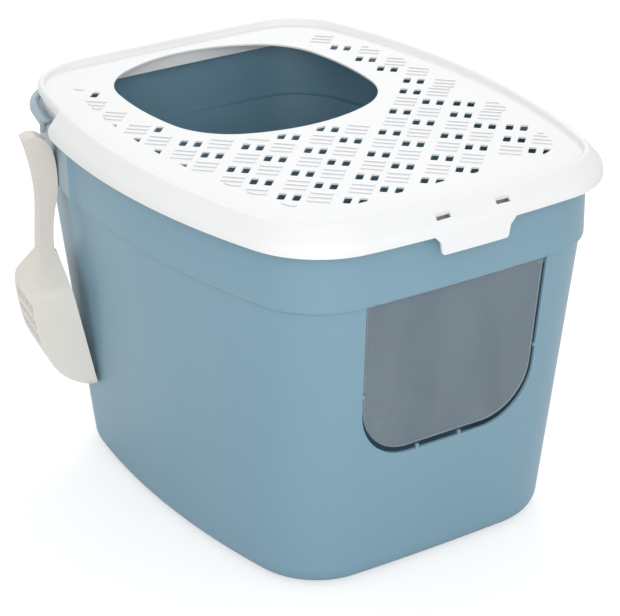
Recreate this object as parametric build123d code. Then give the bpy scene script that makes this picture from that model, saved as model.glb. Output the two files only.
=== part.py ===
from build123d import *
import math
import os

# A litter tray with two ways in: a tapered tub with a bowed, round-cornered plan, a lid that snaps over the
# tub's rim and tips up about its rear edge, a clear swinging door in the front wall and a scoop hung on the rim.
# X is the width, the door faces -Y, the scoop hangs on the -X side near the rear, and +Z is up.
# The origin is the middle of the foot, on the floor. Every plan outline is a "core" of four shallow arcs grown
# by a corner radius, so that outlines with one core nest with an even gap.

# Overall size
HEIGHT = 395.0
WALL = 2.5
PLAY = 0.3

# Lid plan, measured on the outside of its skirt
LID_WIDTH = 457.0
LID_FRONT = 264.5
LID_REAR = 289.0
LID_CORNER = 90.0
LID_SIDE_BULGE = 27.0
LID_FRONT_BULGE = 4.0
LID_REAR_BULGE = 1.0

# Lid section
SKIRT_DEPTH = 25.5
SKIRT_RISE = 9.0
SHOULDER_RUN = 14.5
SHOULDER_ROUND = 12.0
CREST_ROUND = 4.0
BEAD_INSET = 19.5
DECK_DROP = 8.0
DECK_WALL = 1.8
PAN_ROUND = 3.0
BEAD_ROUND = 3.0
SEAT_INSET = 17.0
REAR_BEAD_INSET = 13.0
REAR_BEAD_HEIGHT = 9.0
SKIRT_END_Y = 148.0
SKIRT_END_ROUND = 9.0
LIP_INSET = 33.0
LIP_DEPTH = 14.0

# Entry opening in the lid
ENTRY_WIDTH = 247.0
ENTRY_FRONT_Y = -4.5
ENTRY_REAR_Y = 250.3
ENTRY_CORNER = 77.4
ENTRY_SIDE_BULGE = 3.4
ENTRY_FRONT_BULGE = 8.8
ENTRY_REAR_BULGE = 11.0
ENTRY_MARGIN = 10.0
ENTRY_CLEAR = 12.5

# Drain weave: cells on two grids, slots in pairs on one and raised bars in threes on the other
WEAVE_PITCH_X = 43.8
WEAVE_PITCH_Y = 41.0
WEAVE_X = 2.0
WEAVE_Y = -21.5
WEAVE_LEAN = -1.1
WEAVE_STAGGER = 1.8
WEAVE_COLUMNS = range(-4, 4)
WEAVE_ROWS = range(-4, 6)
EDGE_COLUMN = 3
EDGE_ROWS = (-3, -1, 1, 2, 3, 4)
EDGE_SINGLE_ROW = 2
EDGE_RISE = 3.0
BLANK_CELLS = ((-3, 3), (-3, 4), (-3, -4), (2, -4), (1, 0))
WEAVE_INSET = 48.5
WEAVE_SHIFT_X = 10.0
WEAVE_SHIFT_Y = 15.0
WEAVE_TURN = 1.5
WEAVE_FRONT_Y = -194.0
WEAVE_REAR_Y = 214.0
SLOT_LENGTH = 15.5
SLOT_WIDTH = 7.4
SLOT_CORNER = 1.8
SLOT_SPACING = 14.2
BAR_LENGTH = 21.0
BAR_WIDTH = 4.0
BAR_HEIGHT = 1.1
BAR_SPACING = 9.6
BARS_PER_CELL = 3
LEAST_MARK = 14.0

# Front catch: a tab below the skirt, with two core slots in the shoulder above its snap noses
TAB_WIDTH = 80.0
TAB_FLARE = 7.0
TAB_DROP = 19.5
CORE_SLOT_X = 34.0
CORE_SLOT_WIDTH = 16.0
CORE_SLOT_DEPTH = 4.6
CORE_SLOT_INSET = 7.2
NOSE_HEIGHT = 3.0

# Tub waist, under the stepped-out band, and foot
WAIST_Z = 306.5
WAIST_HALF_WIDTH = 207.5
WAIST_FRONT = 242.7
WAIST_REAR = 264.5
WAIST_CORNER = 71.5
WAIST_SIDE_BULGE = 24.5
WAIST_END_BULGE = 2.0
FOOT_HALF_WIDTH = 178.3
FOOT_LENGTH = 434.8
FOOT_CORNER = 79.0
FOOT_SIDE_BULGE = 11.9
FOOT_END_BULGE = 1.6
FOOT_ROUND = 22.5

# Band and rim
BAND_INSET = 16.0
BAND_STEP = 4.0
BAND_ROUND = 3.5
RIM_TOP_BELOW_LID = 19.5
RIM_RISE = 4.5
RIM_BEAD = 9.0
RIM_LIP = 7.5
RIM_GAP = 1.3
GRIP_START_Y = 122.0
GRIP_PROUD = 3.0
GRIP_HALF_WIDTH = 203.5
GRIP_RAMP = 3.0

# Door opening and door
DOOR_TOP_WIDTH = 210.0
DOOR_BOTTOM_WIDTH = 199.0
DOOR_BOTTOM_Z = 135.0
DOOR_CORNER = 57.0
DOOR_GAP_SIDE = 3.0
DOOR_GAP_BOTTOM = 5.0
DOOR_GAP_TOP = 2.0
DOOR_THICKNESS = 2.0
DOOR_SET_BACK = 3.5
LUG_WIDTH = 3.2
LUG_CLEARANCE = 0.8
LUG_SIDE_Z = 210.0
LUG_BOTTOM_X = (-34.0, 16.0)
NOTCH_WIDTH = 6.0
NOTCH_HEIGHT = 4.0
NOTCH_DEPTH = 1.2
NOTCH_X = 100.0

# Door pivots: pins on ears behind the door's top corners, in sockets behind the front wall
PIN_RADIUS = 2.5
PIN_CLEARANCE = 0.06
PIN_BELOW_WAIST = 5.0
PIN_BEHIND_WALL = 7.5
EAR_THICKNESS = 3.0
EAR_RADIUS = 3.5
SOCKET_WIDTH = 6.0
SOCKET_GAP = 0.5
SOCKET_RADIUS = 4.8

# Scoop, in an upright plane square to the rim where it hangs; side profiles give the distance out from the
# rim's edge and the depth below the rim's top
SCOOP_Y = 172.0
SCOOP_WIDTH = 76.0
SCOOP_WALL = 2.0
SCOOP_FLOOR = 1.2
SCOOP_LIP = 1.0
SCOOP_ROUND = 10.0
SCOOP_SHOULDER_ROUND = 20.0
BLADE_BACK = [(-35.0, -283.0), (-15.0, -274.5), (0.0, -265.0), (11.0, -252.0), (20.5, -231.0), (25.0, -210.0),
              (28.0, -190.0), (27.0, -172.0), (20.0, -154.0), (12.5, -136.0)]
BLADE_MOUTH_TOP = -4.0
SHOULDER_DROP = 36.0
HANDLE_WIDTH = 20.0
HANDLE_BACK = [(12.5, -146.0), (11.5, -106.0), (10.8, -84.0), (12.5, -61.0), (17.0, -37.0), (24.0, -13.0)]
HANDLE_CROWN = (13.0, -10.0)
HANDLE_MOUTH = [(2.5, -15.0), (-5.0, -28.0), (-8.0, -42.0), (-9.0, -56.0), (-8.0, -75.0), (-5.0, -91.0),
                (-2.5, -112.0), (-3.5, -140.0)]
HOOK_WIDTH = 8.0
HOOK_THICKNESS = 2.8
HOOK_GAP = 0.3
HOOK_DIP = 3.2
HOOK_FOOT = 24.0
SIFT_COLUMNS = 7
SIFT_ROWS = 5
SIFT_WIDTH = 4.6
SIFT_LENGTH = 12.5
SIFT_PITCH_ACROSS = 8.6
SIFT_PITCH_DOWN = 16.5
SIFT_TOP = -191.0

# Levels and offsets worked out from the above
LID_CORE = (
    LID_WIDTH / 2 - LID_SIDE_BULGE - LID_CORNER,
    LID_FRONT - LID_FRONT_BULGE - LID_CORNER,
    LID_REAR - LID_REAR_BULGE - LID_CORNER,
    LID_SIDE_BULGE,
    LID_FRONT_BULGE,
    LID_REAR_BULGE,
)
WAIST_CORE = (
    WAIST_HALF_WIDTH - WAIST_SIDE_BULGE - WAIST_CORNER,
    WAIST_FRONT - WAIST_END_BULGE - WAIST_CORNER,
    WAIST_REAR - WAIST_END_BULGE - WAIST_CORNER,
    WAIST_SIDE_BULGE,
    WAIST_END_BULGE,
    WAIST_END_BULGE,
)
FOOT_CORE = (
    FOOT_HALF_WIDTH - FOOT_SIDE_BULGE - FOOT_CORNER,
    FOOT_LENGTH / 2 - FOOT_END_BULGE - FOOT_CORNER,
    FOOT_LENGTH / 2 - FOOT_END_BULGE - FOOT_CORNER,
    FOOT_SIDE_BULGE,
    FOOT_END_BULGE,
    FOOT_END_BULGE,
)
ENTRY_CORE = (
    ENTRY_WIDTH / 2 - ENTRY_SIDE_BULGE - ENTRY_CORNER,
    -(ENTRY_FRONT_Y + ENTRY_FRONT_BULGE + ENTRY_CORNER),
    ENTRY_REAR_Y - ENTRY_REAR_BULGE - ENTRY_CORNER,
    ENTRY_SIDE_BULGE,
    ENTRY_FRONT_BULGE,
    ENTRY_REAR_BULGE,
)
SKIRT_Z = HEIGHT - SKIRT_DEPTH
SLOPE_Z = SKIRT_Z + SKIRT_RISE
SLOPE_LEAN = math.atan2(SHOULDER_RUN, HEIGHT - SLOPE_Z)
DECK_Z = HEIGHT - DECK_DROP
PAN_GROW = LID_CORNER - BEAD_INSET
SEAT_GROW = LID_CORNER - SEAT_INSET
REAR_BEAD_GROW = LID_CORNER - REAR_BEAD_INSET
LIP_GROW = LID_CORNER - LIP_INSET
VALLEY_Z = HEIGHT - RIM_TOP_BELOW_LID - RIM_RISE
RIM_TOP_Z = VALLEY_Z + RIM_RISE
RIM_GROW = LID_CORNER - WALL - RIM_GAP
RIM_BEAD_GROW = RIM_GROW - RIM_BEAD
BAND_GROW = LID_CORNER - BAND_INSET
FRONT_TILT = math.atan2(WAIST_FRONT - FOOT_LENGTH / 2, WAIST_Z)
PIN_Y = -WAIST_FRONT + PIN_BEHIND_WALL
PIN_Z = WAIST_Z - PIN_BELOW_WAIST
FAR = 2000.0


def outline(core, grow, z):
    """Face of the core's four arcs grown by the corner radius `grow`, at height z."""
    half, front, rear, side_bulge, front_bulge, rear_bulge = core
    middle = (rear - front) / 2
    arcs = [
        ThreePointArc((half, -front), (half + side_bulge, middle), (half, rear)),
        ThreePointArc((half, rear), (0, rear + rear_bulge), (-half, rear)),
        ThreePointArc((-half, rear), (-half - side_bulge, middle), (-half, -front)),
        ThreePointArc((-half, -front), (0, -front - front_bulge), (half, -front)),
    ]
    return Pos(0, 0, z) * offset(make_face(arcs), amount=grow, kind=Kind.ARC)


def prism(core, grow, low, high):
    """Upright solid of one outline between two heights."""
    return extrude(outline(core, grow, low), high - low, dir=(0, 0, 1))


def taper(low_outline, high_outline):
    """Ruled solid between two outlines of different height."""
    return loft([low_outline, high_outline], ruled=True)


def level_edges(solid, z):
    """Edges of a solid that lie wholly at height z."""
    return solid.edges().filter_by_position(Axis.Z, z - 0.01, z + 0.01)


def box_between(x0, x1, y0, y1, z0, z1):
    """Box from its six limits."""
    return Pos((x0 + x1) / 2, (y0 + y1) / 2, (z0 + z1) / 2) * Box(x1 - x0, y1 - y0, z1 - z0)


def door_outline(gap_side, gap_bottom, gap_top):
    """Door shape, heights measured from the waist: straight top, closing sides, large round lower corners."""
    half_top = DOOR_TOP_WIDTH / 2 - gap_side
    half_bottom = DOOR_BOTTOM_WIDTH / 2 - gap_side
    bottom = DOOR_BOTTOM_Z + gap_bottom - WAIST_Z
    corners = [(-half_top, -gap_top), (-half_bottom, bottom), (half_bottom, bottom), (half_top, -gap_top)]
    shape = make_face(Polyline(*corners, close=True))
    return fillet(shape.vertices().group_by(Axis.Y)[0], DOOR_CORNER - gap_side)


def behind_front(shape, near, far):
    """Slab of an upright shape along the tilted front wall, from `near` to `far` behind its outside."""
    outward = (0, -math.cos(FRONT_TILT), -math.sin(FRONT_TILT))
    wall = Plane(origin=(0, -WAIST_FRONT, WAIST_Z), x_dir=(1, 0, 0), z_dir=outward)
    return extrude(wall.offset(-far) * shape, far - near)


def across(radius, x0, x1, y, z):
    """Cylinder along X between x0 and x1."""
    return Pos((x0 + x1) / 2, y, z) * Rot(0, 90, 0) * Cylinder(radius, abs(x1 - x0))


def make_rim():
    """Rim all round the tub: a flat seat for the lid, then a rolled bead open underneath."""
    rim = prism(LID_CORE, RIM_GROW, RIM_TOP_Z - RIM_LIP, RIM_TOP_Z)
    rim -= prism(LID_CORE, RIM_BEAD_GROW, VALLEY_Z, RIM_TOP_Z)
    rim = fillet(level_edges(rim, RIM_TOP_Z), RIM_RISE - PLAY)
    hollow = prism(LID_CORE, RIM_GROW - WALL, 0, RIM_TOP_Z - WALL)
    hollow -= prism(LID_CORE, RIM_BEAD_GROW + WALL, VALLEY_Z - WALL, RIM_TOP_Z)
    return rim - hollow


def band_body(grow, low, high, low_grow=None):
    """Band between the waist's core and the lid's core; `grow` counts from the band's outside."""
    waist_grow = WAIST_CORNER + BAND_STEP + (grow if low_grow is None else low_grow)
    return taper(outline(WAIST_CORE, waist_grow, low), outline(LID_CORE, BAND_GROW + grow, high))


def bow_depth(x, z):
    """How far the bowed front wall lies behind its middle at x, at height z."""
    depths = []
    for core, corner in ((FOOT_CORE, FOOT_CORNER), (WAIST_CORE, WAIST_CORNER)):
        half = core[0]
        bulge = core[4]
        radius = (half**2 + bulge**2) / (2 * bulge) + corner
        depths.append(radius - math.sqrt(radius**2 - x**2))
    return depths[0] + (depths[1] - depths[0]) * z / WAIST_Z


def socket_cylinders(radius, overrun):
    """A cylinder about each door pivot over its socket, `overrun` longer at both ends."""
    start = DOOR_TOP_WIDTH / 2 + SOCKET_GAP / 2 - overrun
    end = start + SOCKET_WIDTH + 2 * overrun
    return [across(radius, side * start, side * end, PIN_Y, PIN_Z) for side in (-1, 1)]


def grip_wedge(start):
    """Upright block behind a V in plan, so that the grip swells out of the band along a ramp."""
    tip = (0, start - GRIP_RAMP * GRIP_HALF_WIDTH)
    far_y = start + GRIP_RAMP * (FAR - GRIP_HALF_WIDTH)
    plan = make_face(Polyline(tip, (FAR, far_y), (-FAR, far_y), close=True))
    return extrude(plan, FAR) & box_between(-FAR, FAR, 0, FAR, 0, FAR)


def make_sockets():
    """Two bosses behind the front wall, bored afterwards for the door's pins."""
    sockets = socket_cylinders(SOCKET_RADIUS, 0)
    inner = -WAIST_FRONT + WAIST_END_BULGE + WALL / 2
    for boss in socket_cylinders(SOCKET_RADIUS, 0):
        limits = boss.bounding_box()
        sockets.append(box_between(limits.min.X, limits.max.X, inner, PIN_Y, limits.min.Z, limits.max.Z))
    return sockets


def make_lugs():
    """Small centring lugs on the edge of the door opening."""
    lugs = []
    bottom = DOOR_BOTTOM_Z - WAIST_Z
    reach = DOOR_GAP_BOTTOM - LUG_CLEARANCE
    for x in LUG_BOTTOM_X:
        shape = Pos(x, bottom + reach / 2 - WALL / 2) * Rectangle(LUG_WIDTH, reach + WALL)
        near = bow_depth(x, DOOR_BOTTOM_Z)
        lugs.append(behind_front(shape, near, near + WALL))
    drop = (WAIST_Z - LUG_SIDE_Z) / (WAIST_Z - DOOR_BOTTOM_Z)
    edge = (DOOR_TOP_WIDTH + (DOOR_BOTTOM_WIDTH - DOOR_TOP_WIDTH) * drop) / 2
    reach = DOOR_GAP_SIDE - LUG_CLEARANCE
    near = bow_depth(edge, LUG_SIDE_Z)
    for side in (-1, 1):
        middle = side * (edge - reach / 2 + WALL / 2)
        shape = Pos(middle, LUG_SIDE_Z - WAIST_Z) * Rectangle(reach + WALL, LUG_WIDTH)
        lugs.append(behind_front(shape, near, near + WALL))
    return lugs


def make_tub():
    """Tub: tapered body, stepped-out band, rolled rim that forms the rear grip, and the door opening."""
    body = taper(outline(FOOT_CORE, FOOT_CORNER, 0), outline(WAIST_CORE, WAIST_CORNER, WAIST_Z))
    body = fillet(level_edges(body, 0), FOOT_ROUND)
    band = band_body(0, WAIST_Z, VALLEY_Z)
    band = fillet(level_edges(band, WAIST_Z), BAND_ROUND)
    grip = band_body(GRIP_PROUD, WAIST_Z, VALLEY_Z)
    grip = fillet(level_edges(grip, WAIST_Z), BAND_ROUND)
    grip &= grip_wedge(GRIP_START_Y)
    tub = body + band + grip + make_rim()
    cavity = taper(
        outline(FOOT_CORE, FOOT_CORNER - WALL, WALL),
        outline(WAIST_CORE, WAIST_CORNER - WALL, WAIST_Z + WALL),
    )
    cavity = fillet(level_edges(cavity, WALL), FOOT_ROUND - WALL)
    upper = band_body(-WALL, WAIST_Z + WALL, RIM_TOP_Z)
    grip_cavity = band_body(GRIP_PROUD - WALL, WAIST_Z + WALL, VALLEY_Z - WALL)
    grip_cavity &= grip_wedge(GRIP_START_Y + GRIP_RAMP * WALL)
    tub -= [cavity, upper, grip_cavity]
    tub -= behind_front(door_outline(0, 0, 0), -BAND_STEP, WALL + BAND_STEP)
    notch_end = bow_depth(NOTCH_X, WAIST_Z) + NOTCH_DEPTH - BAND_STEP
    for side in (-1, 1):
        notch = Pos(side * NOTCH_X, NOTCH_HEIGHT / 2) * Rectangle(NOTCH_WIDTH, NOTCH_HEIGHT)
        tub -= behind_front(notch, -2 * BAND_STEP, notch_end)
    tub += make_sockets() + make_lugs()
    return tub - socket_cylinders(PIN_RADIUS + PIN_CLEARANCE, SOCKET_GAP)


def entry_outline(grow=0.0):
    """Entry opening in plan, grown by a margin."""
    return outline(ENTRY_CORE, ENTRY_CORNER + grow, 0)


def weave_field():
    """Area of the deck that the drain weave fills: inset from the lid's edge and clear of the entry."""
    length = WEAVE_REAR_Y - WEAVE_FRONT_Y
    block = Pos(0, (WEAVE_REAR_Y + WEAVE_FRONT_Y) / 2) * Rectangle(LID_WIDTH, length)
    place = Pos(WEAVE_SHIFT_X, WEAVE_SHIFT_Y) * Rot(0, 0, WEAVE_TURN)
    field = place * outline(LID_CORE, LID_CORNER - WEAVE_INSET, 0) & block
    return field - entry_outline(ENTRY_MARGIN)


def weave_point(column, row):
    """Centre of a weave cell's slots; each row leans a little from the last."""
    sign = 1 if (column + row) % 2 else -1
    x = WEAVE_X + column * WEAVE_PITCH_X + row * WEAVE_LEAN
    return x, WEAVE_Y + row * WEAVE_PITCH_Y + sign * WEAVE_STAGGER


def clipped(marks, field):
    """The parts of plan shapes that lie in the field, leaving out slivers and those that crowd the entry."""
    crowded = entry_outline(ENTRY_CLEAR).faces()[0]
    kept = []
    for mark in marks:
        if crowded.is_inside(mark.faces()[0].center()):
            continue
        for face in (mark & field).faces():
            if face.area > LEAST_MARK:
                kept.append(face)
    return kept


def slot_pair(x, y):
    """Two drain slots side by side, lying along the falling diagonal."""
    slot = RectangleRounded(SLOT_LENGTH, SLOT_WIDTH, SLOT_CORNER)
    return [Pos(x, y) * Rot(0, 0, 45) * Pos(0, step * SLOT_SPACING) * slot for step in (-0.5, 0.5)]


def bar_trio(x, y):
    """Three raised bars side by side, lying across the slots."""
    bars = []
    for index in range(BARS_PER_CELL):
        step = index - (BARS_PER_CELL - 1) / 2
        bar = Pos(0, step * BAR_SPACING) * Rectangle(BAR_LENGTH, BAR_WIDTH)
        bars.append(Pos(x, y) * Rot(0, 0, -45) * bar)
    return bars


def weave_marks(field):
    """Plan faces of the drain slots and of the raised bars between them."""
    slots = []
    bars = []
    for column in WEAVE_COLUMNS:
        for row in WEAVE_ROWS:
            x, y = weave_point(column, row)
            between_x = x + WEAVE_PITCH_X / 2
            between_y = y + WEAVE_PITCH_Y / 2
            edge = column == EDGE_COLUMN
            if (column, row) not in BLANK_CELLS and (not edge or row < EDGE_SINGLE_ROW):
                slots += slot_pair(x, y)
            if edge and row in EDGE_ROWS:
                slots += slot_pair(between_x, between_y + EDGE_RISE)
                bars += bar_trio(x + WEAVE_PITCH_X, y)
            else:
                bars += bar_trio(between_x, between_y)
    return clipped(slots, field), clipped(bars, field)


def skirt_cutaway():
    """What is taken off the lid's rear: the skirt and shoulder behind the line where they end."""
    corner = (SKIRT_END_Y, SKIRT_Z + SKIRT_END_ROUND)
    foot = (SKIRT_END_Y - SKIRT_END_ROUND, SKIRT_Z)
    side = make_face(
        [
            RadiusArc(corner, foot, SKIRT_END_ROUND),
            Polyline(foot, (foot[0], 0), (FAR, 0), (FAR, FAR), (SKIRT_END_Y, FAR), corner),
        ]
    )
    return extrude(Plane.YZ * side, FAR, both=True) - prism(LID_CORE, SEAT_GROW - WALL / 2, 0, FAR)


def shoulder_block(inset, low, high):
    """Solid inside the lid's skirt and sloping shoulder, `inset` in from the outside, between two heights."""
    bend_z = SLOPE_Z - inset * math.tan(SLOPE_LEAN / 2)
    grow = LID_CORNER - inset
    top_grow = grow - (high - bend_z) * math.tan(SLOPE_LEAN)
    slope = taper(outline(LID_CORE, grow, bend_z), outline(LID_CORE, top_grow, high))
    block = prism(LID_CORE, grow, low, bend_z) + slope
    return fillet(level_edges(block, bend_z), SHOULDER_ROUND - inset)


def skirt_end_walls():
    """Walls that close the hollow of the shoulder at both ends of the skirt, above the tub's rim."""
    wall = shoulder_block(WALL / 2, SKIRT_Z, HEIGHT - WALL / 2)
    wall &= box_between(-FAR, FAR, SKIRT_END_Y - WALL, SKIRT_END_Y, RIM_TOP_Z + 2 * PLAY, FAR)
    return wall - prism(LID_CORE, SEAT_GROW - WALL / 2, 0, FAR)


def make_rear_bead():
    """Rounded bead that carries the lid's raised edge round the rear, where the skirt is left off."""
    bead = prism(LID_CORE, REAR_BEAD_GROW, HEIGHT - REAR_BEAD_HEIGHT, HEIGHT)
    bead = fillet(level_edges(bead, HEIGHT), REAR_BEAD_GROW - PAN_GROW - BEAD_ROUND - PLAY)
    bead -= prism(LID_CORE, SEAT_GROW - WALL / 2, 0, FAR)
    return bead & box_between(-FAR, FAR, SKIRT_END_Y - WALL, FAR, 0, FAR)


def make_tab():
    """Pull tab below the front of the skirt, with two snap noses on its inside just clear of the rim."""
    half = TAB_WIDTH / 2
    low = SKIRT_Z - TAB_DROP
    flank = [(half + TAB_FLARE, SKIRT_Z + PLAY), (half, SKIRT_Z - TAB_FLARE), (half - TAB_FLARE / 3, low)]
    corners = [(-x, z) for x, z in flank] + flank[::-1]
    profile = make_face(Polyline(*corners, close=True))
    profile = fillet(profile.vertices().group_by(Axis.Y)[0], TAB_FLARE / 2)
    plate = prism(LID_CORE, LID_CORNER, low, SKIRT_Z + PLAY) - prism(LID_CORE, LID_CORNER - WALL, low, HEIGHT)
    tab = plate & extrude(Plane.XZ * profile, FAR)
    nose_top = RIM_TOP_Z - RIM_LIP - PLAY
    noses = prism(LID_CORE, LID_CORNER - WALL / 2, nose_top - NOSE_HEIGHT, nose_top)
    noses -= prism(LID_CORE, RIM_GROW + PLAY, nose_top - NOSE_HEIGHT, nose_top)
    for side in (-1, 1):
        x0 = side * CORE_SLOT_X - CORE_SLOT_WIDTH / 2
        tab += noses & box_between(x0, x0 + CORE_SLOT_WIDTH, -FAR, 0, 0, FAR)
    return tab


def core_slots():
    """The two slots in the front shoulder through which the snap noses are moulded."""
    front = -LID_FRONT + CORE_SLOT_INSET - CORE_SLOT_DEPTH / 2
    slots = []
    for side in (-1, 1):
        x0 = side * CORE_SLOT_X - CORE_SLOT_WIDTH / 2
        slots.append(box_between(x0, x0 + CORE_SLOT_WIDTH, front, front + CORE_SLOT_DEPTH, RIM_TOP_Z, FAR))
    return slots


def make_lid():
    """Lid: rolled skirt cut away at the rear, raised bead, sunken deck with the entry and the drain weave."""
    under_deck = DECK_Z - DECK_WALL
    lid = shoulder_block(0, SKIRT_Z, HEIGHT)
    lid = fillet(level_edges(lid, HEIGHT), CREST_ROUND)
    lid -= shoulder_block(WALL, SKIRT_Z, HEIGHT - WALL) - prism(LID_CORE, PAN_GROW + WALL, under_deck, HEIGHT)
    lid -= skirt_cutaway()
    seat = prism(LID_CORE, SEAT_GROW, VALLEY_Z + PLAY, HEIGHT - WALL)
    seat -= prism(LID_CORE, PAN_GROW, 0, DECK_Z)
    lid += [skirt_end_walls(), seat, make_rear_bead()]
    pan = prism(LID_CORE, PAN_GROW, DECK_Z, HEIGHT)
    lid -= fillet(level_edges(pan, DECK_Z), PAN_ROUND)
    mouth = prism(LID_CORE, PAN_GROW + PLAY, DECK_Z, HEIGHT + PLAY).solids()[0]
    lid = fillet([edge for edge in level_edges(lid, HEIGHT) if mouth.is_inside(edge @ 0.5)], BEAD_ROUND)
    lip = prism(LID_CORE, LIP_GROW, under_deck - LIP_DEPTH, DECK_Z - DECK_WALL / 2)
    lip -= prism(LID_CORE, LIP_GROW - WALL, under_deck - LIP_DEPTH, DECK_Z)
    lid += [lip, make_tab()]
    lid -= extrude(entry_outline(), FAR)
    lid -= core_slots()
    slots, bars = weave_marks(weave_field())
    lid -= [extrude(Pos(0, 0, under_deck - WALL) * face, 3 * WALL) for face in slots]
    lid += [extrude(Pos(0, 0, DECK_Z - DECK_WALL / 2) * face, BAR_HEIGHT + DECK_WALL / 2) for face in bars]
    return lid


def make_door():
    """Clear swinging door: a sheet along the front wall, with two ears behind its top and a pin on each."""
    sheet = door_outline(DOOR_GAP_SIDE, DOOR_GAP_BOTTOM, DOOR_GAP_TOP)
    door = behind_front(sheet, DOOR_SET_BACK, DOOR_SET_BACK + DOOR_THICKNESS)
    inside = -WAIST_FRONT + DOOR_SET_BACK + DOOR_THICKNESS / 2
    ear_top = WAIST_Z - DOOR_GAP_TOP - PLAY
    out_x = DOOR_TOP_WIDTH / 2 - DOOR_GAP_SIDE - SOCKET_GAP
    tip_x = DOOR_TOP_WIDTH / 2 + SOCKET_GAP / 2 + SOCKET_WIDTH
    for side in (-1, 1):
        x0, x1 = sorted((side * out_x, side * (out_x - EAR_THICKNESS)))
        door += box_between(x0, x1, inside, PIN_Y, PIN_Z - EAR_RADIUS, ear_top)
        door += across(EAR_RADIUS, x0, x1, PIN_Y, PIN_Z)
        pin = sorted((side * (out_x - EAR_THICKNESS / 2), side * tip_x))
        door += across(PIN_RADIUS, pin[0], pin[1], PIN_Y, PIN_Z)
    return door


def scoop_planes():
    """Side plane (out, up) and front plane (along the rim, up) where the scoop hangs, from the rim's curve."""
    half, front, rear, bulge = LID_CORE[:4]
    reach = (rear + front) / 2
    radius = (reach**2 + bulge**2) / (2 * bulge)
    along = SCOOP_Y - (rear - front) / 2
    sine = along / (radius + RIM_GROW)
    cosine = math.sqrt(1 - sine**2)
    x = -(half + bulge - radius) - (radius + RIM_GROW) * cosine
    origin = (x, SCOOP_Y, RIM_TOP_Z)
    side = Plane(origin=origin, x_dir=(-cosine, sine, 0), z_dir=(sine, cosine, 0))
    face = Plane(origin=origin, x_dir=(sine, cosine, 0), z_dir=(cosine, -sine, 0))
    return side, face


def blade_block(side, face, inset, floor, mouth):
    """Blade block from its side profile and its front outline, drawn in by a wall, reaching `mouth` past it."""
    back = [(out - inset, up + floor) for out, up in BLADE_BACK]
    top = back[-1]
    tip = back[0]
    edge = Polyline(top, (BLADE_MOUTH_TOP - mouth, top[1]), (tip[0] - mouth, tip[1]), tip)
    profile = make_face([Spline(*back), edge])
    half = SCOOP_WIDTH / 2 - inset
    low = BLADE_BACK[0][1] + inset
    high = BLADE_BACK[-1][1] - inset
    neck = HANDLE_WIDTH / 2 - inset
    shoulder = high - SHOULDER_DROP
    corners = [(-half, low), (-half, shoulder), (-neck, high), (neck, high), (half, shoulder), (half, low)]
    front = make_face(Polyline(*corners, close=True))
    front = fillet(front.vertices().filter_by_position(Axis.Y, shoulder - 1, shoulder + 1), SCOOP_SHOULDER_ROUND)
    front = fillet(front.vertices().group_by(Axis.Y)[0], SCOOP_ROUND - inset)
    return extrude(side * profile, half, both=True) & extrude(face * front, FAR / 10, both=True)


def make_scoop():
    """Scoop: open blade with a slotted back, a channel handle and a hook bent over the tub's rim."""
    side, face = scoop_planes()
    scoop = blade_block(side, face, 0, 0, SCOOP_LIP)
    scoop -= blade_block(side, face, SCOOP_WALL, SCOOP_FLOOR, SCOOP_WIDTH)
    crown = ThreePointArc(HANDLE_BACK[-1], HANDLE_CROWN, HANDLE_MOUTH[0])
    grip = make_face([Spline(*HANDLE_BACK), crown, Spline(*HANDLE_MOUTH), Line(HANDLE_MOUTH[-1], HANDLE_BACK[0])])
    handle = extrude(side * grip, HANDLE_WIDTH / 2, both=True)
    inner = [(out - SCOOP_WALL, up) for out, up in HANDLE_BACK[:-1]]
    top = HANDLE_MOUTH[0][1] - SCOOP_WALL
    inner.append((HANDLE_BACK[-1][0] - 2 * SCOOP_WALL, top))
    reach = -SCOOP_WIDTH
    channel = make_face([Spline(*inner), Polyline(inner[-1], (reach, top), (reach, inner[0][1]), inner[0])])
    handle -= extrude(side * channel, HANDLE_WIDTH / 2 - SCOOP_WALL, both=True)
    scoop += [handle, make_hook(side)]
    holes = []
    for column in range(SIFT_COLUMNS):
        for row in range(SIFT_ROWS):
            across_at = (column - (SIFT_COLUMNS - 1) / 2) * SIFT_PITCH_ACROSS
            up_at = SIFT_TOP - row * SIFT_PITCH_DOWN
            hole = RectangleRounded(SIFT_WIDTH, SIFT_LENGTH, SIFT_WIDTH / 2 - PLAY)
            holes.append(face * Pos(across_at, up_at) * hole)
    return scoop - [extrude(hole, -SCOOP_WIDTH) for hole in holes]


def make_hook(side):
    """Strap that rises from the handle's head, crosses the rolled bead and dips into the seat behind it."""
    leg = HOOK_GAP
    top = HOOK_GAP + HOOK_THICKNESS
    back = -RIM_BEAD - HOOK_GAP
    tip = back - HOOK_THICKNESS
    under = [(back, -HOOK_DIP), (back, leg), (leg, leg), (leg, -HOOK_FOOT)]
    over = [(top, -HOOK_FOOT), (top, top), (tip, top), (tip, -HOOK_DIP)]
    strap = make_face(Polyline(*under, *over, close=True))
    strap = fillet(strap.vertices().filter_by_position(Axis.Y, top - PLAY, top + PLAY), HOOK_THICKNESS)
    return extrude(side * strap, HOOK_WIDTH / 2, both=True)


NODES = {
    "tub": make_tub,
    "lid": make_lid,
    "door_flap": make_door,
    "scoop": make_scoop,
}

os.makedirs("parts", exist_ok=True)
for name, maker in NODES.items():
    export_step(maker(), f"parts/{name}.step")
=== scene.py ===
import bpy
import numpy as np
from mathutils import Matrix, Vector

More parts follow.
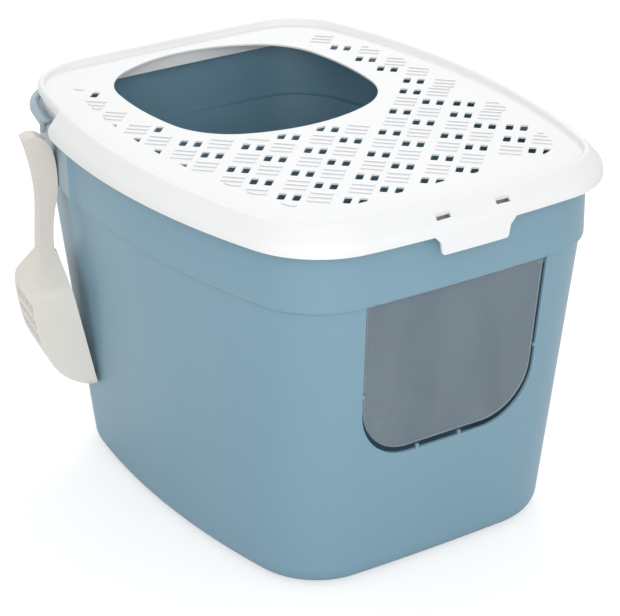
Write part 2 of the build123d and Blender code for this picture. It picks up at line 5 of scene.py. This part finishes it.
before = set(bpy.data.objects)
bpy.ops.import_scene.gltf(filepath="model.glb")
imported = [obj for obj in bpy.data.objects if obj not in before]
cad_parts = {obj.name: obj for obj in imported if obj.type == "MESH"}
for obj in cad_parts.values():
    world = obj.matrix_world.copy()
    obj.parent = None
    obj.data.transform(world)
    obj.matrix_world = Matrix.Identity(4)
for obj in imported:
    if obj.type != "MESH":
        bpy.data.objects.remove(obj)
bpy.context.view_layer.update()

# Litter tub. One deep shell of satin polypropylene, injection moulded upside down, so its walls lean
# outwards to the stepped band and the rolled rim. Fine draw lines run down the walls. The rear grip is
# painted paler, a painted sheen of reflected light, and the foot has a few light scuffs.


class Wire:
    """A shader socket that carries a number. Sums on it add Math nodes to its network."""

    def __init__(self, network, socket):
        self.network = network
        self.socket = socket

    def maths(self, operation, first, second):
        return self.network.node("ShaderNodeMath", "Value", {"operation": operation},
                                 {"Value": first, "Value_001": second})

    def __add__(self, other):
        return self.maths("ADD", self, other)

    def __radd__(self, other):
        return self.maths("ADD", other, self)

    def __sub__(self, other):
        return self.maths("SUBTRACT", self, other)

    def __rsub__(self, other):
        return self.maths("SUBTRACT", other, self)

    def __mul__(self, other):
        return self.maths("MULTIPLY", self, other)

    def __rmul__(self, other):
        return self.maths("MULTIPLY", other, self)

    def __truediv__(self, other):
        return self.maths("DIVIDE", self, other)

    def __rtruediv__(self, other):
        return self.maths("DIVIDE", other, self)

    def __pow__(self, other):
        return self.maths("POWER", self, other)

    def __rpow__(self, other):
        return self.maths("POWER", other, self)

    def __abs__(self):
        return self.maths("ABSOLUTE", self, 0.0)

    def or_more(self, other):
        """This number, or the other where the other is larger."""
        return self.maths("MAXIMUM", self, other)


class Network:
    """A tree of shader nodes, and the one method that adds a node to it."""

    def __init__(self, tree):
        self.tree = tree

    def node(self, kind, output, settings, sockets):
        """Add a node: its settings are set first, then its sockets take values or links."""
        node = self.tree.nodes.new(kind)
        for name, value in settings.items():
            setattr(node, name, value)
        self.feed(node, sockets)
        return self.wire(node, output)

    def wire(self, node, output):
        """A node's output socket, which is named by its identifier."""
        return Wire(self, {socket.identifier: socket for socket in node.outputs}[output])

    def feed(self, node, sockets):
        """Set or link a node's input sockets, which are named by their identifiers."""
        found = {socket.identifier: socket for socket in node.inputs}
        for name, value in sockets.items():
            if isinstance(value, Wire):
                self.tree.links.new(value.socket, found[name])
            elif found[name].type == "RGBA":
                found[name].default_value = (*value, 1.0)
            else:
                found[name].default_value = value


class Finish(Network):
    """The material of one piece. Its patterns lie on the piece's own axes, in metres."""

    def __init__(self, name, sockets):
        self.material = bpy.data.materials.new(name)
        self.material.use_nodes = True
        super().__init__(self.material.node_tree)
        self.shader = self.tree.nodes["Principled BSDF"]
        self.feed(self.shader, sockets)

    def place(self, axis):
        """One coordinate of the position."""
        at = self.node("ShaderNodeTexCoord", "Object", {}, {})
        return self.node("ShaderNodeSeparateXYZ", axis, {}, {"Vector": at})

    def facing(self, axis):
        """How far the surface faces along an axis, from -1 to 1."""
        normal = self.node("ShaderNodeTexCoord", "Normal", {}, {})
        return self.node("ShaderNodeSeparateXYZ", axis, {}, {"Vector": normal})

    def noise(self, scale, detail, stretch=(1.0, 1.0, 1.0), rough=0.5):
        """Noise from 0 to 1, in cells of 1 / (scale x stretch) metres along each axis."""
        at = self.node("ShaderNodeTexCoord", "Object", {}, {})
        stretched = self.node("ShaderNodeMapping", "Vector", {}, {"Vector": at, "Scale": stretch})
        return self.node("ShaderNodeTexNoise", "Fac", {},
                         {"Vector": stretched, "Scale": scale, "Detail": detail, "Roughness": rough})

    def ramp(self, value, low, high):
        """0 below low, 1 above high, and a straight line between."""
        return self.node("ShaderNodeMapRange", "Result", {"clamp": True},
                         {"Value": value, "From Min": low, "From Max": high})

    def blend(self, factor, first, second):
        """The first colour where the factor is 0, and the second where it is 1."""
        return self.node("ShaderNodeMix", "Result_Color", {"data_type": "RGBA"},
                         {"Factor_Float": factor, "A_Color": first, "B_Color": second})

    def bump(self, height, depth):
        """Relief whose height goes from 0 to 1 over a depth in metres."""
        self.feed(self.shader, {"Normal": self.node("ShaderNodeBump", "Normal", {}, {
            "Height": height, "Strength": 1.0, "Distance": depth})})

    def cover(self, part):
        """Take the place of a part's plain material."""
        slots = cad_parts[part].data.materials
        slots.clear()
        slots.append(self.material)


def shown_as(red, green, blue):
    """A colour as a screen shows it, 0 to 255, in the linear values that the shaders take."""
    level = np.array([red, green, blue]) / 255.0
    level = np.where(level <= 0.04045, level / 12.92, ((level + 0.055) / 1.055) ** 2.4)
    return tuple(level.tolist())


TUB_BLUE = shown_as(121, 157, 174)
TUB_BLUE_DEEP = shown_as(118, 154, 172)
TUB_SCUFF = shown_as(168, 188, 196)
GRIP_PAINTED_SHEEN = shown_as(172, 188, 200)
TUB_RELIEF = 0.00005
SCUFF_TOP_Z = 0.016
WAIST_Z = 0.3065
RIM_Z = 0.362
GRIP_Y = 0.122
GRIP_HALF_WIDTH = 0.2035
GRIP_RAMP = 3.0

tub_blue = Finish("tub blue", {"Specular IOR Level": 0.5, "Coat Weight": 0.25, "Coat Roughness": 0.22})
tub_x, tub_y, tub_z = tub_blue.place("X"), tub_blue.place("Y"), tub_blue.place("Z")
melt_drift = tub_blue.ramp(tub_blue.noise(4.0, 3.0, stretch=(1.0, 1.0, 0.5)), 0.3, 0.7)
draw_lines = tub_blue.noise(240.0, 2.0, stretch=(1.0, 1.0, 0.02))
tub_grain = tub_blue.noise(1100.0, 2.0)
foot_scuff = tub_blue.ramp(tub_blue.noise(130.0, 4.0, stretch=(0.25, 0.25, 3.0), rough=0.65), 0.58, 0.72)
foot_scuff = foot_scuff * (1.0 - tub_blue.ramp(tub_z, 0.0, SCUFF_TOP_Z))

# The grip is the part of the band behind the skirt's slanting ends, on the outside and over the rim.
# Its paler colour is a painted sheen, reflected light painted into the base colour.
behind_skirt = tub_y - GRIP_RAMP * (abs(tub_x) - GRIP_HALF_WIDTH) - GRIP_Y
outward = tub_blue.facing("X") * tub_x + tub_blue.facing("Y") * tub_y
over_rim = tub_blue.ramp(tub_z, RIM_Z, RIM_Z + 0.003)
grip_sheen = tub_blue.ramp(behind_skirt, 0.0, 0.005) * tub_blue.ramp(tub_y, 0.1, 0.11)
grip_sheen = grip_sheen * tub_blue.ramp(outward, 0.0, 0.02).or_more(over_rim)
grip_sheen = grip_sheen * tub_blue.ramp(tub_z, WAIST_Z - 0.001, WAIST_Z + 0.004)

tub_colour = tub_blue.blend(melt_drift, TUB_BLUE, TUB_BLUE_DEEP)
tub_colour = tub_blue.blend(0.55 * foot_scuff, tub_colour, TUB_SCUFF)
tub_blue.feed(tub_blue.shader, {
    # the rear grip is lightened by the painted sheen
    "Base Color": tub_blue.blend(0.6 * grip_sheen, tub_colour, GRIP_PAINTED_SHEEN),
    "Roughness": 0.36 + 0.05 * melt_drift + 0.05 * draw_lines + 0.15 * foot_scuff,
})
tub_blue.bump(0.35 * draw_lines + 0.65 * tub_grain, TUB_RELIEF)
tub_blue.cover("tub")

# Drain lid. One white polypropylene moulding that rests on the tub's rim: a rolled edge, a sunken deck
# with a weave of slots and raised bars that litter falls through, a wide entry, and a tab that snaps
# under the rim. The deck has a fine spark grain, and grey stands for the shade beside its bars.

LID_WHITE = shown_as(236, 236, 236)
LID_WHITE_COOL = shown_as(233, 234, 235)
LID_PAINTED_SHADE = shown_as(196, 198, 202)
LID_RELIEF = 0.00006
DECK_TOP_Z = 0.387
BAR_HEIGHT = 0.0011
PAN_HALF_WIDTH = 0.1115
PAN_HALF_LENGTH = 0.18425
PAN_MIDDLE_Y = 0.01375
PAN_BULGE = 0.027
PAN_ROUND = 0.060
PAN_EDGE = 0.001

lid_white = Finish("lid white", {"Specular IOR Level": 0.4})
lid_drift = lid_white.ramp(lid_white.noise(5.0, 3.0), 0.3, 0.7)
lid_grain = lid_white.noise(900.0, 3.0)
up_the_bar = (lid_white.place("Z") - DECK_TOP_Z) / BAR_HEIGHT
bar_tops = lid_white.ramp(up_the_bar, 0.8, 0.98)

# The deck lies in a pan with round corners and bowed sides, and past_pan is the distance from the inner
# rectangle that those corners are drawn about.
along = abs(lid_white.place("Y") - PAN_MIDDLE_Y)
bow = PAN_BULGE * (1.0 - (along / PAN_HALF_LENGTH) ** 2.0)
past_side = (abs(lid_white.place("X")) - PAN_HALF_WIDTH - bow).or_more(0.0)
past_end = (along - PAN_HALF_LENGTH).or_more(0.0)
past_pan = (past_side * past_side + past_end * past_end) ** 0.5
on_deck = 1.0 - lid_white.ramp(past_pan, PAN_ROUND, PAN_ROUND + PAN_EDGE)
# The bars' sides are painted grey: painted shade beside the bars, only on the deck.
bar_side_shade = (lid_white.ramp(up_the_bar, 0.02, 0.2) - bar_tops) * on_deck

lid_colour = lid_white.blend(lid_drift, LID_WHITE, LID_WHITE_COOL)
lid_white.feed(lid_white.shader, {
    "Base Color": lid_white.blend(bar_side_shade, lid_colour, LID_PAINTED_SHADE),
    "Roughness": 0.46 + 0.08 * lid_grain - 0.08 * bar_tops,
})
lid_white.bump(lid_grain, LID_RELIEF)
lid_white.cover("lid")

# Door flap. A clear, smoke-grey moulding in one with its ears and pins, which swings in the front wall.
# It is glossy, with faint flow lines and a light haze of fine scratches low down. Its cut edges are
# painted pale, a painted highlight for the light that such edges gather.

DOOR_SMOKE = shown_as(128, 142, 152)
DOOR_HAZE = shown_as(150, 163, 172)
DOOR_EDGE_HIGHLIGHT = shown_as(222, 228, 231)
DOOR_RELIEF = 0.00012
MARKS_FULL_Z = 0.15
MARKS_TOP_Z = 0.22

door_clear = Finish("door clear", {"Specular IOR Level": 0.5})
flow_lines = door_clear.ramp(door_clear.noise(9.0, 1.0, stretch=(2.2, 1.0, 0.7)), 0.35, 0.65)
low_marks = door_clear.ramp(door_clear.noise(420.0, 2.0, stretch=(0.1, 1.0, 1.0), rough=0.6), 0.58, 0.72)
low_marks = low_marks * (1.0 - door_clear.ramp(door_clear.place("Z"), MARKS_FULL_Z, MARKS_TOP_Z))
# Where the flap turns edge-on, its colour is a painted highlight and it is more opaque.
cut_edge = 1.0 - door_clear.ramp(abs(door_clear.facing("Y")), 0.7, 0.92)

door_colour = door_clear.blend(0.25 * flow_lines + 0.25 * low_marks, DOOR_SMOKE, DOOR_HAZE)
door_clear.feed(door_clear.shader, {
    "Base Color": door_clear.blend(cut_edge, door_colour, DOOR_EDGE_HIGHLIGHT),
    "Roughness": 0.1 + 0.04 * flow_lines + 0.1 * low_marks,
    "Alpha": (0.5 + 0.05 * flow_lines + 0.06 * low_marks).or_more(0.95 * cut_edge),
})
door_clear.bump(flow_lines, DOOR_RELIEF)
door_clear.cover("door_flap")

# Scoop. One warm-white polypropylene moulding with a sifting blade, a channel handle and the hook that
# hangs it on the tub's rim. Its colour is a little uneven, the handle and the hook are greyed by painted
# shade, and the blade's lip is slightly dulled.

SCOOP_CREAM = shown_as(236, 230, 222)
SCOOP_SHADE = shown_as(230, 225, 216)
HANDLE_PAINTED_SHADE = shown_as(222, 215, 206)
HOOK_PAINTED_SHADE = shown_as(150, 163, 171)
SCOOP_RELIEF = 0.00005
LIP_FULL_Z = 0.125
LIP_TOP_Z = 0.16
HANDLE_FOOT_Z = 0.19
HANDLE_FULL_Z = 0.25
HOOK_Z = 0.366

scoop_cream = Finish("scoop cream", {"Specular IOR Level": 0.45})
scoop_z = scoop_cream.place("Z")
scoop_drift = scoop_cream.ramp(scoop_cream.noise(14.0, 3.0), 0.3, 0.7)
scoop_grain = scoop_cream.noise(1000.0, 2.0)
lip_marks = scoop_cream.ramp(scoop_cream.noise(260.0, 3.0, stretch=(1.0, 1.0, 0.2), rough=0.6), 0.55, 0.7)
lip_marks = lip_marks * (1.0 - scoop_cream.ramp(scoop_z, LIP_FULL_Z, LIP_TOP_Z))
# Painted shade: the handle is greyed upwards from its foot, and the hook over the rim is painted
# blue-grey.
handle_shade = scoop_cream.ramp(scoop_z, HANDLE_FOOT_Z, HANDLE_FULL_Z)
hook_shade = scoop_cream.ramp(scoop_z, HOOK_Z - 0.0005, HOOK_Z + 0.0005)

scoop_colour = scoop_cream.blend(scoop_drift, SCOOP_CREAM, SCOOP_SHADE)
scoop_colour = scoop_cream.blend(handle_shade, scoop_colour, HANDLE_PAINTED_SHADE)
scoop_cream.feed(scoop_cream.shader, {
    "Base Color": scoop_cream.blend(hook_shade, scoop_colour, HOOK_PAINTED_SHADE),
    "Roughness": 0.34 + 0.06 * scoop_drift + 0.12 * lip_marks,
})
scoop_cream.bump(scoop_grain + 0.5 * lip_marks, SCOOP_RELIEF)
scoop_cream.cover("scoop")

# Floor and lamps. A white studio sweep in an evenly lit room, with one soft box at the front left and a
# weaker one at the rear right. What the camera sees of the sweep is lifted to white, and the tray's
# shadow stays on it.

FLOOR_HALF = 6.0
SWEEP_WHITE = (0.85, 0.85, 0.85)
PURE_WHITE = (1.0, 1.0, 1.0)
SWEEP_LIFT = 0.35
SWEEP_GLOW = 1.6
ROOM_LIGHT = 0.8

floor_mesh = bpy.data.meshes.new("floor")
floor_mesh.from_pydata([(-FLOOR_HALF, -FLOOR_HALF, 0), (FLOOR_HALF, -FLOOR_HALF, 0),
                        (FLOOR_HALF, FLOOR_HALF, 0), (-FLOOR_HALF, FLOOR_HALF, 0)], [], [(0, 1, 2, 3)])
floor = bpy.data.objects.new("floor", floor_mesh)
bpy.context.collection.objects.link(floor)

sweep = Finish("sweep", {"Base Color": SWEEP_WHITE, "Roughness": 1.0, "Specular IOR Level": 0.0})
to_camera = sweep.node("ShaderNodeLightPath", "Is Camera Ray", {}, {})
glow = sweep.node("ShaderNodeEmission", "Emission", {}, {"Color": PURE_WHITE, "Strength": SWEEP_GLOW})
lifted = sweep.node("ShaderNodeMixShader", "Shader", {}, {
    "Fac": SWEEP_LIFT * to_camera, "Shader": sweep.wire(sweep.shader, "BSDF"), "Shader_001": glow})
sweep.feed(sweep.tree.nodes["Material Output"], {"Surface": lifted})
floor_mesh.materials.append(sweep.material)

# The room lights the tray at its own level, and stands behind it, and in gloss, as plain white.
world = bpy.data.worlds.new("studio")
world.use_nodes = True
bpy.context.scene.world = world
room = Network(world.node_tree)
background = room.tree.nodes["Background"]
seen = room.node("ShaderNodeLightPath", "Is Camera Ray", {}, {})
for ray in ("Is Glossy Ray", "Is Transmission Ray"):
    seen = seen.or_more(room.node("ShaderNodeLightPath", ray, {}, {}))
room.feed(background, {"Color": PURE_WHITE, "Strength": ROOM_LIGHT + (1.0 - ROOM_LIGHT) * seen})


def soft_box(name, place, target, size, power):
    """A square lamp, size metres wide and of the given watts, that faces a point."""
    lamp_data = bpy.data.lights.new(name, "AREA")
    lamp_data.shape = "SQUARE"
    lamp_data.size = size
    lamp_data.energy = power
    lamp = bpy.data.objects.new(name, lamp_data)
    turn = (Vector(target) - Vector(place)).to_track_quat("-Z", "Y").to_matrix().to_4x4()
    lamp.matrix_world = Matrix.Translation(place) @ turn
    bpy.context.collection.objects.link(lamp)


soft_box("soft box rear right", (0.9, 1.3, 1.9), (0.0, 0.0, 0.3), size=1.0, power=13.0)
soft_box("soft box front left", (-1.2, -2.1, 1.25), (0.0, 0.0, 0.2), size=1.3, power=21.5)

# Camera. It stands about two and a half metres off the front left, a little above the lid, with a long
# lens, and is rolled by a fraction of a degree. Its angles are in radians.

CAMERA_TARGET = np.array((-0.00001, 0.00325, 0.18327))
CAMERA_DISTANCE = 2.4819
CAMERA_AZIMUTH = -0.6008
CAMERA_ELEVATION = 0.4399
CAMERA_ROLL = 0.005
CAMERA_LENS = 140.93
CAMERA_SENSOR = 36.0
CAMERA_REACH = 100.0

back = np.array((np.sin(CAMERA_AZIMUTH) * np.cos(CAMERA_ELEVATION),
                 -np.cos(CAMERA_AZIMUTH) * np.cos(CAMERA_ELEVATION), np.sin(CAMERA_ELEVATION)))
level_right = np.cross((0.0, 0.0, 1.0), back)
level_right /= np.linalg.norm(level_right)
level_up = np.cross(back, level_right)

camera_frame = np.eye(4)
camera_frame[:3, 0] = np.cos(CAMERA_ROLL) * level_right + np.sin(CAMERA_ROLL) * level_up
camera_frame[:3, 1] = np.cos(CAMERA_ROLL) * level_up - np.sin(CAMERA_ROLL) * level_right
camera_frame[:3, 2] = back
camera_frame[:3, 3] = CAMERA_TARGET + CAMERA_DISTANCE * back

lens = bpy.data.cameras.new("camera")
lens.sensor_width = CAMERA_SENSOR
lens.lens = CAMERA_LENS
lens.clip_end = CAMERA_REACH
camera = bpy.data.objects.new("camera", lens)
camera.matrix_world = Matrix(camera_frame.tolist())
bpy.context.collection.objects.link(camera)
bpy.context.scene.camera = camera
bpy.context.scene.view_settings.view_transform = "Standard"
